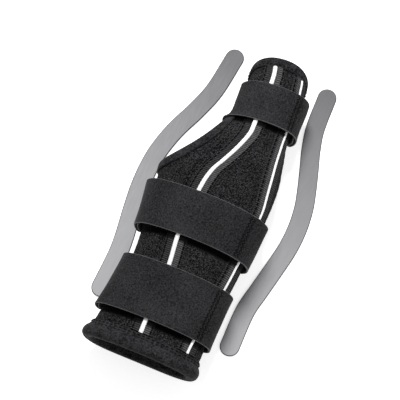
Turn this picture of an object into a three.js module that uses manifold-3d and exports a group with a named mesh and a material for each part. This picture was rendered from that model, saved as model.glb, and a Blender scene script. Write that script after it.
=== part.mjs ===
// A right-hand thumb spica splint, fastened and lying on its ulnar side, with its two removable metal stays
// drawn out of their pockets and laid beside it. Millimetres, +Z up, +Y from the cuff towards the thumb.
// The sleeve is one hollow tube from cuff to thumb rim, with an open hand hole cut in its left flank.

import * as THREE from 'three';
import Module from 'manifold-3d';

const wasm = await Module();
wasm.setup();

// Sleeve of laminated fabric
const sleeveLength = 208;
const handWidth = 78;
const handDepth = 47;
const sleeveWall = 3;
const crownRoundness = 2.2;
const widestHeight = 0.48;
const flattened = 1.06; // how far the lower half would reach below the plane that it is pressed flat on

// Thumb rim and cuff: the rim leans, so that the sleeve is longer over the thumb than under it
const rimLean = 0.45;
const rimMiddleHeight = 19;

// The cuff, the straps and the rim lie askew: for each millimetre across, towards the back of the hand, they
// reach this much further along the sleeve. The tilt grows between two shares of sleeveLength.
const cuffTilt = 0.045;
const rimTilt = 0.12;
const tiltGrows = { from: 0.45, to: 0.87 };

// Hand hole, in plan: an arc from the palm's flank to the web of the thumb, hollowed towards the cuff.
// x and hollow: shares of handWidth. at: share of sleeveLength.
const holePalm = { x: -0.477, at: 0.572 };
const holeWeb = { x: -0.132, at: 0.805 };
const holeHollow = 0.064;

// Clearance between pieces that touch on the real splint. It is wider under the pockets, whose facets cross
// the sleeve's.
const fit = 0.35;
const pocketFit = 0.6;

// Folded edge bindings. bindingChamfer: share of the thickness that the fold's corners are cut off by
const bindingThickness = 1;
const bindingChamfer = 0.6;
const cuffBindingLeg = 8;
const rimBindingLeg = 5.5;
const holeBindingLeg = 5;

// Stay pockets: a ribbed tape sewn on the sleeve, with a white piping in its middle groove
const pocketWidth = 14.5;
const pocketThickness = 1;
const pipingWidth = 2.6;
const pipingThickness = 0.7;
const pipingProud = 0.12;

// Straps. A strap climbs over its own start between these two angles in radians, counted back from it.
const strapThickness = 1.8;
const strapClimbFrom = 1.1;
const strapClimbTo = 0.12;
const wristStrapWidth = 37;
const handStrapWidth = 30;
const thumbStrapWidth = 28;

// width: along the sleeve. at: share of sleeveLength to the strap's middle. start: degrees round the
// section. turn: 1 or -1, the way round. overlap: degrees that its end lies over its start.
const straps = [
  { name: 'wrist_strap', width: wristStrapWidth, at: 0.183, start: 168, turn: 1, overlap: 46 },
  { name: 'hand_strap', width: handStrapWidth, at: 0.442, start: 168, turn: 1, overlap: 46 },
  { name: 'thumb_strap', width: thumbStrapWidth, at: 0.874, start: 12, turn: -1, overlap: 60 },
];

// Metal stays, cut from flat strip
const stayWidth = 13;
const stayThickness = 1.6;
const stayLength = 197;

// Points round each ring, steps along the straps and the stays, and round the hand hole and a stay's end
const ringPoints = 36;
const strapStations = 40;
const stayStations = 24;
const holeSteps = 14;
const roundEndSteps = 8;

// How far the shapes that cut the sleeve open run past it
const cavityOverrun = 12;
const holeOverrun = 14;

// The walk round a section, for measuring along the fabric: from the lower right flank over the top
const walkSteps = 160;
const walkStart = -Math.PI / 3;
const walkEnd = (4 / 3) * Math.PI;

const fabricColour = '#1c1c1e';
const tapeColour = '#3a3a3d';
const strapColour = '#242426';
const pipingColour = '#f4f4f2';
const stayColour = '#9b9b9e';

// Sleeve sections. at: share of sleeveLength. left, right: shares of handWidth from the sleeve's axis.
// low, high: shares of handDepth above the sleeve's lowest line. flat: power of the lower half, 2 is round.
const sections = [
  { at: 0.0, left: -0.43, right: 0.5, low: 0.0, high: 0.93, flat: 3.0 },
  { at: 0.087, left: -0.405, right: 0.495, low: 0.0, high: 0.9, flat: 3.0 },
  { at: 0.173, left: -0.38, right: 0.487, low: 0.0, high: 0.87, flat: 3.0 },
  { at: 0.279, left: -0.372, right: 0.487, low: 0.0, high: 0.885, flat: 3.0 },
  { at: 0.385, left: -0.41, right: 0.497, low: 0.0, high: 0.936, flat: 3.0 },
  { at: 0.51, left: -0.462, right: 0.506, low: 0.0, high: 1.0, flat: 3.0 },
  { at: 0.606, left: -0.5, right: 0.5, low: 0.0, high: 0.99, flat: 2.9 },
  { at: 0.673, left: -0.475, right: 0.48, low: 0.0, high: 0.95, flat: 2.8 },
  { at: 0.731, left: -0.36, right: 0.442, low: 0.015, high: 0.895, flat: 2.6 },
  { at: 0.779, left: -0.215, right: 0.407, low: 0.03, high: 0.83, flat: 2.4 },
  { at: 0.817, left: -0.128, right: 0.385, low: 0.035, high: 0.785, flat: 2.3 },
  { at: 0.88, left: -0.128, right: 0.365, low: 0.03, high: 0.745, flat: 2.2 },
  { at: 0.942, left: -0.141, right: 0.355, low: 0.02, high: 0.713, flat: 2.2 },
  { at: 1.0, left: -0.154, right: 0.328, low: 0.0, high: 0.67, flat: 2.2 },
  { at: 1.08, left: -0.17, right: 0.295, low: 0.0, high: 0.64, flat: 2.2 },
];

// Middle lines of the two pockets. at: share of sleeveLength. x: share of handWidth from the sleeve's axis.
const palmPocketLine = [
  { at: 0.0, x: 0.012 },
  { at: 0.09, x: -0.006 },
  { at: 0.27, x: -0.032 },
  { at: 0.375, x: -0.071 },
  { at: 0.535, x: -0.07 },
  { at: 0.595, x: -0.046 },
  { at: 0.64, x: 0.004 },
  { at: 0.7, x: 0.06 },
  { at: 0.755, x: 0.09 },
  { at: 0.8, x: 0.085 },
  { at: 0.94, x: 0.067 },
  { at: 1.0, x: 0.026 },
  { at: 1.08, x: 0.02 },
];
const backPocketLine = [
  { at: 0.0, x: 0.393 },
  { at: 0.1, x: 0.393 },
  { at: 0.3, x: 0.439 },
  { at: 0.53, x: 0.452 },
  { at: 0.6, x: 0.428 },
  { at: 0.765, x: 0.361 },
  { at: 0.8, x: 0.35 },
  { at: 0.95, x: 0.307 },
  { at: 1.0, x: 0.266 },
  { at: 1.08, x: 0.228 },
];

// Middle lines of the two stays as they lie. at: share of stayLength. x: share of stayWidth, sideways.
const palmStayLine = [
  { at: 0.0, x: 0.0 },
  { at: 0.16, x: -0.02 },
  { at: 0.31, x: -0.35 },
  { at: 0.39, x: -0.51 },
  { at: 0.47, x: -0.57 },
  { at: 0.55, x: -0.5 },
  { at: 0.65, x: -0.18 },
  { at: 0.75, x: 0.34 },
  { at: 0.85, x: 0.74 },
  { at: 1.0, x: 0.95 },
];
const backStayLine = [
  { at: 0.0, x: 0.0 },
  { at: 0.14, x: -0.04 },
  { at: 0.23, x: 0.17 },
  { at: 0.32, x: 0.39 },
  { at: 0.41, x: 0.58 },
  { at: 0.49, x: 0.61 },
  { at: 0.57, x: 0.48 },
  { at: 0.64, x: 0.22 },
  { at: 0.72, x: -0.14 },
  { at: 0.79, x: -0.47 },
  { at: 0.87, x: -0.73 },
  { at: 1.0, x: -0.85 },
];
const palmStayStart = { x: -42, y: 33.5 };
const backStayStart = { x: 51, y: 33.5 };

// The layers over the sleeve, from its outer face out
const pocketLift = pocketFit;
const strapLift = pocketLift + pocketThickness + pipingProud + fit;
const restHeight = strapLift + strapThickness;

// Smooth value of one column of a table at a share of the length
function valueAt(table, key, at) {
  const last = table.length - 1;
  let i = 0;
  while (i < last - 1 && at > table[i + 1].at) i += 1;
  const slope = (j) => {
    const a = table[Math.max(j - 1, 0)];
    const b = table[Math.min(j + 1, last)];
    return (b[key] - a[key]) / (b.at - a.at);
  };
  const here = table[i];
  const next = table[i + 1];
  const span = next.at - here.at;
  const t = (at - here.at) / span;
  return (
    here[key] * (2 * t ** 3 - 3 * t ** 2 + 1) +
    slope(i) * span * (t ** 3 - 2 * t ** 2 + t) +
    next[key] * (3 * t ** 2 - 2 * t ** 3) +
    slope(i + 1) * span * (t ** 3 - t ** 2)
  );
}

// The sleeve's outer section at a distance y from the cuff
function sectionAt(y) {
  const at = y / sleeveLength;
  const left = valueAt(sections, 'left', at) * handWidth;
  const right = valueAt(sections, 'right', at) * handWidth;
  const low = restHeight + valueAt(sections, 'low', at) * handDepth;
  const high = restHeight + valueAt(sections, 'high', at) * handDepth;
  return {
    middle: (left + right) / 2,
    half: (right - left) / 2,
    waist: low + (high - low) * widestHeight,
    low,
    high,
    flat: valueAt(sections, 'flat', at),
  };
}

// A point of the section at an angle, moved out along the section's own normal by lift
function skinPoint(y, angle, lift = 0) {
  const s = sectionAt(y);
  const up = Math.sin(angle) >= 0;
  const power = 2 / (up ? crownRoundness : s.flat);
  const rise = up ? s.high - s.waist : (s.waist - s.low) * flattened;
  const signedPower = (v, p) => Math.sign(v) * Math.abs(v) ** p;
  const x = s.half * signedPower(Math.cos(angle), power);
  const z = rise * signedPower(Math.sin(angle), power);
  if (s.waist + z < s.low) return new THREE.Vector3(s.middle + x, y, s.low - lift);
  const exponent = 2 / power - 1;
  const nx = signedPower(x / s.half, exponent) / s.half;
  const nz = signedPower(z / rise, exponent) / rise;
  const size = Math.hypot(nx, nz) || 1;
  return new THREE.Vector3(s.middle + x + (nx / size) * lift, y, s.waist + z + (nz / size) * lift);
}

// A closed solid through rows of points, all of one length, each a closed ring or profile.
// ends: 'hub' closes each end with a fan about its middle, 'outline' with triangles between the row's own
// points, which a hollow profile needs, and 'joined' joins the last row to the first.
function loft(rows, ends) {
  const width = rows[0].length;
  const positions = rows.flat().flatMap((p) => [p.x, p.y, p.z]);
  const indices = [];
  const last = rows.length - 1;
  const strips = ends === 'joined' ? rows.length : last;
  for (let i = 0; i < strips; i += 1) {
    const next = (i + 1) % rows.length;
    for (let j = 0; j < width; j += 1) {
      const k = (j + 1) % width;
      indices.push(i * width + j, i * width + k, next * width + k);
      indices.push(i * width + j, next * width + k, next * width + j);
    }
  }
  if (ends === 'outline') {
    for (const [a, b, c] of endFaces(rows[0], rows[1])) indices.push(a, c, b);
    for (const face of endFaces(rows[last], rows[last - 1])) {
      indices.push(...face.map((i) => last * width + i));
    }
  }
  if (ends === 'hub') {
    for (const row of [0, last]) {
      const hub = positions.length / 3;
      positions.push(...middleOf(rows[row]).toArray());
      for (let j = 0; j < width; j += 1) {
        const edge = [row * width + j, row * width + ((j + 1) % width)];
        indices.push(...(row === 0 ? edge.reverse() : edge), hub);
      }
    }
  }
  return outward(positions, indices);
}

function middleOf(points) {
  return points.reduce((sum, p) => sum.add(p), new THREE.Vector3()).divideScalar(points.length);
}

// Triangles between the points of a loft's end row, turned the way that the row runs
function endFaces(row, inner) {
  const along = middleOf(row).sub(middleOf(inner)).normalize();
  const across = row[1].clone().sub(row[0]).projectOnPlane(along).normalize();
  const up = along.clone().cross(across);
  const outline = row.map((p) => new THREE.Vector2(p.dot(across), p.dot(up)));
  const turn = Math.sign(THREE.ShapeUtils.area(outline));
  return THREE.ShapeUtils.triangulateShape(outline, []).map(([a, b, c]) =>
    Math.sign(THREE.ShapeUtils.area([outline[a], outline[b], outline[c]])) === turn ? [a, b, c] : [a, c, b],
  );
}

// Turns every face round if the solid came out inside out
function outward(positions, indices) {
  let volume = 0;
  const point = (i) => new THREE.Vector3().fromArray(positions, i * 3);
  for (let i = 0; i < indices.length; i += 3) {
    volume += point(indices[i]).dot(point(indices[i + 1]).cross(point(indices[i + 2])));
  }
  if (volume < 0) {
    for (let i = 0; i < indices.length; i += 3) {
      [indices[i + 1], indices[i + 2]] = [indices[i + 2], indices[i + 1]];
    }
  }
  const geometry = new THREE.BufferGeometry();
  geometry.setAttribute('position', new THREE.Float32BufferAttribute(positions, 3));
  geometry.setIndex(indices);
  return geometry;
}

function toManifold(geometry) {
  return new wasm.Manifold(
    new wasm.Mesh({
      numProp: 3,
      vertProperties: new Float32Array(geometry.attributes.position.array),
      triVerts: new Uint32Array(geometry.index.array),
    }),
  );
}

function fromManifold(solid) {
  const mesh = solid.getMesh();
  const geometry = new THREE.BufferGeometry();
  const positions = [];
  for (let i = 0; i < mesh.numVert; i += 1) {
    positions.push(...mesh.vertProperties.slice(i * mesh.numProp, i * mesh.numProp + 3));
  }
  geometry.setAttribute('position', new THREE.Float32BufferAttribute(positions, 3));
  geometry.setIndex(Array.from(mesh.triVerts));
  return geometry;
}

// The rings take on the thumb rim's lean over the thumb alone, and a sideways tilt all along
const leanShare = (y) => THREE.MathUtils.smoothstep(y / sleeveLength, holeWeb.at, 1);

function tiltAt(y) {
  const grown = THREE.MathUtils.smoothstep(y / sleeveLength, tiltGrows.from, tiltGrows.to);
  return THREE.MathUtils.lerp(cuffTilt, rimTilt, grown);
}

// A point of the skin on the ring that crosses the sleeve's axis, at its middle height, at level
function leaningPoint(level, angle, lift = 0) {
  const upright = skinPoint(level, angle, lift);
  const lean = rimLean * (upright.z - rimMiddleHeight) * leanShare(level);
  return skinPoint(level + lean + tiltAt(level) * upright.x, angle, lift);
}

// The levels of the rings from one distance to another: each row of the sections, and halfway between rows
function ringLevels(from, to) {
  const levels = [from];
  for (let i = 0; i < sections.length - 1; i += 1) {
    const here = sections[i].at * sleeveLength;
    const next = sections[i + 1].at * sleeveLength;
    for (const level of [here, (here + next) / 2]) {
      if (level > from + fit && level < to - fit) levels.push(level);
    }
  }
  levels.push(to);
  return levels;
}

// A filled tube that follows the sleeve's skin at a lift, and runs past both of its ends by beyond.
// Every such tube has its rings at the same levels, so that their walls stay parallel.
function skinTube(lift, beyond) {
  const levels = ringLevels(0, sleeveLength);
  if (beyond > 0) {
    levels.unshift(-beyond);
    levels.push(sleeveLength + beyond);
  }
  const ring = (level) =>
    Array.from({ length: ringPoints }, (_, j) => leaningPoint(level, (2 * Math.PI * j) / ringPoints, lift));
  return toManifold(loft(levels.map(ring), 'hub'));
}

// Plan outline of the hand hole, moved into the fabric by inset
function holeOutline(inset) {
  const palm = new THREE.Vector2(holePalm.x * handWidth, holePalm.at * sleeveLength);
  const web = new THREE.Vector2(holeWeb.x * handWidth, holeWeb.at * sleeveLength);
  const chord = web.clone().sub(palm);
  const half = chord.length() / 2;
  const hollow = holeHollow * handWidth;
  const radius = (half ** 2 + hollow ** 2) / (2 * hollow);
  const side = new THREE.Vector2(-chord.y, chord.x).normalize();
  const centre = palm.clone().add(web).divideScalar(2).addScaledVector(side, radius - hollow);
  const start = palm.clone().sub(centre).angle();
  const sweep = 2 * Math.asin(half / radius);
  const points = [];
  const at = (angle) =>
    new THREE.Vector2(
      centre.x + (radius + inset) * Math.cos(angle),
      centre.y + (radius + inset) * Math.sin(angle),
    );
  const palmTangent = new THREE.Vector2(Math.sin(start), -Math.cos(start));
  points.push(at(start).addScaledVector(palmTangent, holeOverrun));
  for (let i = 0; i <= holeSteps; i += 1) points.push(at(start + (sweep * i) / holeSteps));
  const outside = new THREE.Vector2(-1, 1).normalize();
  const turn = at(start + sweep).addScaledVector(outside, holeOverrun + inset);
  points.push(turn, new THREE.Vector2(turn.x - handWidth, turn.y));
  points.push(new THREE.Vector2(turn.x - handWidth, points[0].y));
  return points;
}

// An upright prism over the hand hole's outline
function holePrism(inset) {
  const shape = new THREE.Shape(holeOutline(inset));
  const tall = handDepth * 2;
  const geometry = new THREE.ExtrudeGeometry(shape, { depth: tall, bevelEnabled: false });
  geometry.translate(0, 0, -tall / 4);
  return toManifold(merged(geometry));
}

// Shared vertices only: one vertex for each place
function merged(geometry) {
  const seen = new Map();
  const positions = [];
  const source = geometry.attributes.position;
  const order = geometry.index ? Array.from(geometry.index.array) : [...Array(source.count).keys()];
  const indices = order.map((i) => {
    const p = [source.getX(i), source.getY(i), source.getZ(i)];
    const key = p.map((v) => v.toFixed(4)).join();
    if (!seen.has(key)) {
      seen.set(key, positions.length / 3);
      positions.push(...p);
    }
    return seen.get(key);
  });
  const kept = [];
  for (let i = 0; i < indices.length; i += 3) {
    const [a, b, c] = indices.slice(i, i + 3);
    if (a !== b && b !== c && a !== c) kept.push(a, b, c);
  }
  return outward(positions, kept);
}

const filledSkin = (lift) => skinTube(lift, 0);
const openSkin = (lift) => skinTube(lift, cavityOverrun);

function makeSleeve() {
  const cavity = openSkin(-sleeveWall);
  return fromManifold(filledSkin(0).subtract(cavity).subtract(holePrism(0)));
}

// Binding folded over the hand hole's edge: a band round the edge, less the sleeve's own wall
function makeHoleBinding() {
  const outerFace = fit + bindingThickness;
  const band = filledSkin(outerFace)
    .subtract(openSkin(-sleeveWall - outerFace))
    .intersect(holePrism(holeBindingLeg))
    .subtract(holePrism(-outerFace));
  const wall = openSkin(fit)
    .subtract(openSkin(-sleeveWall - fit))
    .subtract(holePrism(-fit));
  return fromManifold(band.subtract(wall));
}

// Binding folded over a round edge. edge(angle, lift, back): a point back from the edge and off the skin
function makeRingBinding(edge, leg) {
  const outerFace = fit + bindingThickness;
  const profile = [
    [outerFace, leg],
    [outerFace, -fit],
    [outerFace - bindingThickness * bindingChamfer, -outerFace],
    [-sleeveWall - outerFace + bindingThickness * bindingChamfer, -outerFace],
    [-sleeveWall - outerFace, -fit],
    [-sleeveWall - outerFace, leg],
    [-sleeveWall - fit, leg],
    [-sleeveWall - fit, -fit],
    [fit, -fit],
    [fit, leg],
  ];
  const rows = [];
  for (let j = 0; j < ringPoints; j += 1) {
    const angle = (2 * Math.PI * j) / ringPoints;
    rows.push(profile.map(([lift, back]) => edge(angle, lift, back)));
  }
  return loft(rows, 'joined');
}

const cuffEdge = (angle, lift, back) => leaningPoint(back, angle, lift);
const rimEdge = (angle, lift, back) => leaningPoint(sleeveLength - back, angle, lift);

// A fine polyline of the section, with the length gone at each point
function sectionWalk(y) {
  const walk = [];
  let length = 0;
  for (let i = 0; i <= walkSteps; i += 1) {
    const angle = walkStart + ((walkEnd - walkStart) * i) / walkSteps;
    const point = skinPoint(y, angle);
    if (i > 0) length += point.distanceTo(walk[i - 1].point);
    walk.push({ point, angle, length });
  }
  return walk;
}

// The angle on the section, a distance round the fabric from the crown point whose x is given
function angleBeside(walk, x, distance) {
  let home = 0;
  for (let i = 1; i < walk.length; i += 1) {
    const before = walk[i - 1];
    const after = walk[i];
    if (after.angle > 0 && before.point.x >= x && after.point.x < x) {
      const t = (before.point.x - x) / (before.point.x - after.point.x);
      home = before.length + t * (after.length - before.length);
      break;
    }
  }
  const wanted = home - distance;
  const i = Math.max(
    1,
    walk.findIndex((w) => w.length >= wanted),
  );
  const t = (wanted - walk[i - 1].length) / (walk[i].length - walk[i - 1].length);
  return walk[i - 1].angle + t * (walk[i].angle - walk[i - 1].angle);
}

// A strip that follows the skin along a pocket line. profile: [distance to the side, lift] of each corner
function skinStrip(line, profile, startGap, endGap) {
  const rows = ringLevels(startGap, sleeveLength - endGap).map((level) => {
    const walk = sectionWalk(level);
    const x = valueAt(line, 'x', level / sleeveLength) * handWidth;
    return profile.map(([side, lift]) => leaningPoint(level, angleBeside(walk, x, side), lift));
  });
  return loft(rows, 'outline');
}

const pocketStartGap = cuffBindingLeg + fit;
const pocketEndGap = rimBindingLeg + fit;

function pocketProfile() {
  const half = pocketWidth / 2;
  const groove = pipingWidth / 2 + fit;
  const top = pocketLift + pocketThickness;
  const floor = top - pipingThickness;
  return [
    [-half, pocketLift],
    [-half / 2, pocketLift],
    [0, pocketLift],
    [half / 2, pocketLift],
    [half, pocketLift],
    [half, top],
    [half / 2, top],
    [groove, top],
    [groove, floor],
    [-groove, floor],
    [-groove, top],
    [-half / 2, top],
    [-half, top],
  ];
}

function pipingProfile() {
  const half = pipingWidth / 2;
  const top = pocketLift + pocketThickness + pipingProud;
  const floor = pocketLift + pocketThickness - pipingThickness + fit;
  return [
    [-half, floor],
    [half, floor],
    [half, top],
    [-half, top],
  ];
}

// A strap: a flat band that starts on one flank, goes once round and ends lying over its own start
function makeStrap({ width, at, start, turn, overlap }) {
  const rows = [];
  const acrossRows = 3;
  const whole = 2 * Math.PI + THREE.MathUtils.degToRad(overlap);
  const climb = strapThickness + fit;
  const tilt = tiltAt(at * sleeveLength);
  for (let i = 0; i <= strapStations; i += 1) {
    const gone = (whole * i) / strapStations;
    const angle = THREE.MathUtils.degToRad(start) + turn * gone;
    const left = 2 * Math.PI - gone;
    const raised = 1 - THREE.MathUtils.smoothstep(left, strapClimbTo, strapClimbFrom);
    const lift = strapLift + climb * raised;
    const under = [];
    const over = [];
    for (let k = 0; k < acrossRows; k += 1) {
      const level = at * sleeveLength + width * (k / (acrossRows - 1) - 0.5);
      const y = level + tilt * skinPoint(level, angle, lift).x;
      under.push(skinPoint(y, angle, lift));
      over.push(skinPoint(y, angle, lift + strapThickness));
    }
    rows.push([...under, ...over.reverse()]);
  }
  return loft(rows, 'hub');
}

// A flat metal stay with round ends, lying on the ground
function makeStay(line, start) {
  const run = stayLength - stayWidth;
  const centres = [];
  for (let i = 0; i <= stayStations; i += 1) {
    const at = i / stayStations;
    centres.push(new THREE.Vector2(start.x + valueAt(line, 'x', at) * stayWidth, start.y + run * at));
  }
  const tangent = (i) =>
    centres[Math.min(i + 1, stayStations)]
      .clone()
      .sub(centres[Math.max(i - 1, 0)])
      .normalize();
  const beside = (i, side) => {
    const t = tangent(i);
    return centres[i].clone().add(new THREE.Vector2(t.y, -t.x).multiplyScalar((side * stayWidth) / 2));
  };
  const outline = [];
  for (let i = 0; i <= stayStations; i += 1) outline.push(beside(i, 1));
  outline.push(...roundEnd(centres[stayStations], tangent(stayStations)));
  for (let i = stayStations; i >= 0; i -= 1) outline.push(beside(i, -1));
  outline.push(...roundEnd(centres[0], tangent(0).negate()));
  const shape = new THREE.Shape(outline);
  return merged(new THREE.ExtrudeGeometry(shape, { depth: stayThickness, bevelEnabled: false }));
}

// The inner points of a half circle about a stay's last centre, from its right side to its left
function roundEnd(centre, forward) {
  const points = [];
  for (let i = 1; i < roundEndSteps; i += 1) {
    const angle = (Math.PI * i) / roundEndSteps - Math.PI / 2;
    points.push(
      forward
        .clone()
        .rotateAround(new THREE.Vector2(), angle)
        .multiplyScalar(stayWidth / 2)
        .add(centre),
    );
  }
  return points;
}

const fabric = new THREE.MeshStandardMaterial({ color: fabricColour, roughness: 0.95, metalness: 0 });
const tape = new THREE.MeshStandardMaterial({ color: tapeColour, roughness: 0.85, metalness: 0 });
const strapCloth = new THREE.MeshStandardMaterial({ color: strapColour, roughness: 0.9, metalness: 0 });
const piping = new THREE.MeshStandardMaterial({ color: pipingColour, roughness: 0.5, metalness: 0 });
const metal = new THREE.MeshStandardMaterial({ color: stayColour, roughness: 0.35, metalness: 1 });

const pieces = [
  ['sleeve', makeSleeve(), fabric],
  ['cuff_binding', makeRingBinding(cuffEdge, cuffBindingLeg), fabric],
  ['thumb_binding', makeRingBinding(rimEdge, rimBindingLeg), fabric],
  ['hand_binding', makeHoleBinding(), fabric],
  ['palm_pocket', skinStrip(palmPocketLine, pocketProfile(), pocketStartGap, pocketEndGap), tape],
  ['back_pocket', skinStrip(backPocketLine, pocketProfile(), pocketStartGap, pocketEndGap), tape],
  ['palm_piping', skinStrip(palmPocketLine, pipingProfile(), pocketStartGap, pocketEndGap), piping],
  ['back_piping', skinStrip(backPocketLine, pipingProfile(), pocketStartGap, pocketEndGap), piping],
  ...straps.map((strap) => [strap.name, makeStrap(strap), strapCloth]),
  ['palm_stay', makeStay(palmStayLine, palmStayStart), metal],
  ['back_stay', makeStay(backStayLine, backStayStart), metal],
];

const splint = new THREE.Group();
for (const [name, geometry, material] of pieces) {
  const mesh = new THREE.Mesh(geometry, material);
  mesh.name = name;
  splint.add(mesh);
}

// The origin goes to the middle of the underside of the whole set
const extent = new THREE.Box3().setFromObject(splint);
const middle = extent.getCenter(new THREE.Vector3());
splint.position.set(-middle.x, -middle.y, -extent.min.z);

export default splint;
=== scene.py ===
"""A black thumb spica splint with its two metal stays laid beside it, on a pale studio floor.

The shapes are worked out in millimetres, in the sleeve's own coordinates: x across, y from the cuff, z up.
"""

import math

import bmesh
import bpy
import numpy as np
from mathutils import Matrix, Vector


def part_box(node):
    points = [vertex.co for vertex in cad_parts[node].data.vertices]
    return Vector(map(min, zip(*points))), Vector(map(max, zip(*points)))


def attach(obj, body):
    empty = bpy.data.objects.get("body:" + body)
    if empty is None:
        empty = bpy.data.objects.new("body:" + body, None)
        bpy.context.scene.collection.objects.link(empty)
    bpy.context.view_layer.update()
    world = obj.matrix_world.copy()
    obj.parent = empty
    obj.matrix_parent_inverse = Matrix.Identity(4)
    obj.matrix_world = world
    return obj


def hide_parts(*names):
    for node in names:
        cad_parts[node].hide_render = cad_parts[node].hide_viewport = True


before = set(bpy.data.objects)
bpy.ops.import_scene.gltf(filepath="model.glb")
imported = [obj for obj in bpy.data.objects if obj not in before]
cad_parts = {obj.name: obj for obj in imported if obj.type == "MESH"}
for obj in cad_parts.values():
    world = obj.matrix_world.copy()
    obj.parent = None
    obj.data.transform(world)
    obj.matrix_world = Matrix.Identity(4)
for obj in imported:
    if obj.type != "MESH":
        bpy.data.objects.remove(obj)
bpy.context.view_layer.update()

MM = 0.001

# Sleeve of laminated fabric.
# CROWN_ROUNDNESS: power of the oval above the widest place, where 2 would be an ellipse.
# WIDEST_HEIGHT: the widest place, as a share of a section's height.
# FLATTENED: depth of the part below it before the ground presses it flat, as a share of what is left.
# RIM_LEAN: millimetres that the thumb's rim goes along for each millimetre of height.
SLEEVE_LENGTH = 208.0
HAND_WIDTH = 78.0
HAND_DEPTH = 47.0
SLEEVE_WALL = 3.0
CROWN_ROUNDNESS = 2.2
WIDEST_HEIGHT = 0.48
FLATTENED = 1.06
RIM_LEAN = 0.45
RIM_MIDDLE_HEIGHT = 19.0

# Unevenness of the sleeve's outer face: height and wavelength in millimetres.
# order: -1 reads the waves with x and z exchanged, so that the two kinds don't repeat each other.
SLEEVE_UNEVEN = [
    {"height": 0.1, "wavelength": 3.1, "order": 1},
    {"height": 0.12, "wavelength": 14.0, "order": -1},
]

# The cuff, the straps and the rim lie askew, by these millimetres along for each millimetre across.
# The tilt grows from the cuff's to the rim's between two shares of SLEEVE_LENGTH.
CUFF_TILT = 0.045
RIM_TILT = 0.12
TILT_GROWS = {"from": 0.45, "to": 0.87}

# Hand hole, in plan. x and hollow: shares of HAND_WIDTH. at: share of SLEEVE_LENGTH.
# The overruns carry its line and its cut past the sleeve's flank. The cut goes CUT_BACK further in,
# and spans the heights CUT_FROM to CUT_TO.
HOLE_PALM = {"x": -0.477, "at": 0.572}
HOLE_WEB = {"x": -0.132, "at": 0.805}
HOLE_HOLLOW = 0.064
HOLE_OVERRUN = 14.0
HOLE_LINE_OVERRUN = 6.0
CUT_BACK = 0.2
CUT_FROM = -20.0
CUT_TO = 80.0

# Straps round the sleeve. Their solids touch the ground under it, so REST_HEIGHT is how high its skin lies.
# STRAP_SEAT: how much nearer the skin the cloth lies than its solid. STRAP_ROOM: how much thinner it is.
# STRAP_CUP: how far its long edges stand off. SEAM_DEPTH, SEAM_HALF: the dip along the sewn bar.
# RIPPLE, RIPPLE_LENGTH: height and wavelength of its slow unevenness. STRAP_CORNER: radius at its ends.
# A strap climbs over its own start from CLIMB_FROM to CLIMB_TO radians short of a whole turn.
STRAP_LIFT = 2.07
STRAP_THICKNESS = 1.8
REST_HEIGHT = STRAP_LIFT + STRAP_THICKNESS
STRAP_SEAT = 0.15
STRAP_ROOM = 0.2
STRAP_CUP = 0.2
RIPPLE = 0.16
RIPPLE_LENGTH = 21.0
SEAM_DEPTH = 0.2
SEAM_HALF = 2.6
STRAP_CLIMB = STRAP_THICKNESS + 0.35
CLIMB_FROM = 1.1
CLIMB_TO = 0.12
STRAP_CORNER = 6.0

# The cloth's colour is darkened within these millimetres of a strap's lower edge, as the strap's painted
# shadow there.
PAINTED_SHADOW_REACH = 4.8

# Folded edge bindings. A leg is how far a binding reaches back from its edge, and CUFF_FLAT is the stitched
# end of the cuff's. BINDING_FACE: height of the outer face over the wall. BINDING_GAP: room between them.
# BINDING_TUCK: length of the end that curves in.
CUFF_LEG = 10.0
CUFF_FLAT = 3.0
CUFF_BULGE = 2.0
RIM_LEG = 5.5
RIM_BULGE = 0.3
HOLE_LEG = 5.0
HOLE_BULGE = 0.25
BINDING_FACE = 1.35
BINDING_GAP = 0.12
BINDING_TUCK = 0.7

# Stay pockets: ribbed tapes with piping in the middle, and a stitched channel on each side, CHANNEL from it.
# RIB_PITCH: of the fine ribs of the tape's shape, which run along it.
POCKET_WIDTH = 14.5
POCKET_END_GAP = 0.35
PALM_PIPING_WIDTH = 2.8
BACK_PIPING_WIDTH = 1.8
CHANNEL = 5.85
CHANNEL_HALF = 0.6
# Share of each stitch's spacing where the channel is painted black, as shade in the stitch's dimple.
CHANNEL_SHADE_SHARE = 0.6
RIB_PITCH = 0.95

# The paler grey band of each tape, in millimetres across from the piping
PALM_PALE = {"pale_middle": 3.3, "pale_half": 2.1}
BACK_PALE = {"pale_middle": -2.7, "pale_half": 1.5}

# Stitches. length: of the thread that shows. gap: to the next one. radius: of the thread.
# share: a stitch's length as a share of the zigzag's step that it lies on.
POCKET_STITCH = {"length": 2.1, "gap": 0.9, "radius": 0.33}
CUFF_STITCH = {"length": 2.2, "gap": 1.0, "radius": 0.35}
RIM_STITCH = {"length": 2.0, "gap": 0.9, "radius": 0.33}
BAR_STITCH = {"share": 0.8, "gap": 0.1, "radius": 0.32}
STITCH_SINK = 0.35

# Two more rows, these millimetres across from the palm pocket's line, which end PANEL_ROWS_END from the cuff
PANEL_ROWS = (-9.6, -11.4)
PANEL_ROWS_END = 150.0

# Stays. STAY_EDGE_ROUND: how far their rounded edges reach in.
STAY_WIDTH = 13.0
STAY_THICKNESS = 1.6
STAY_LENGTH = 197.0
STAY_EDGE_ROUND = 0.45

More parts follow.
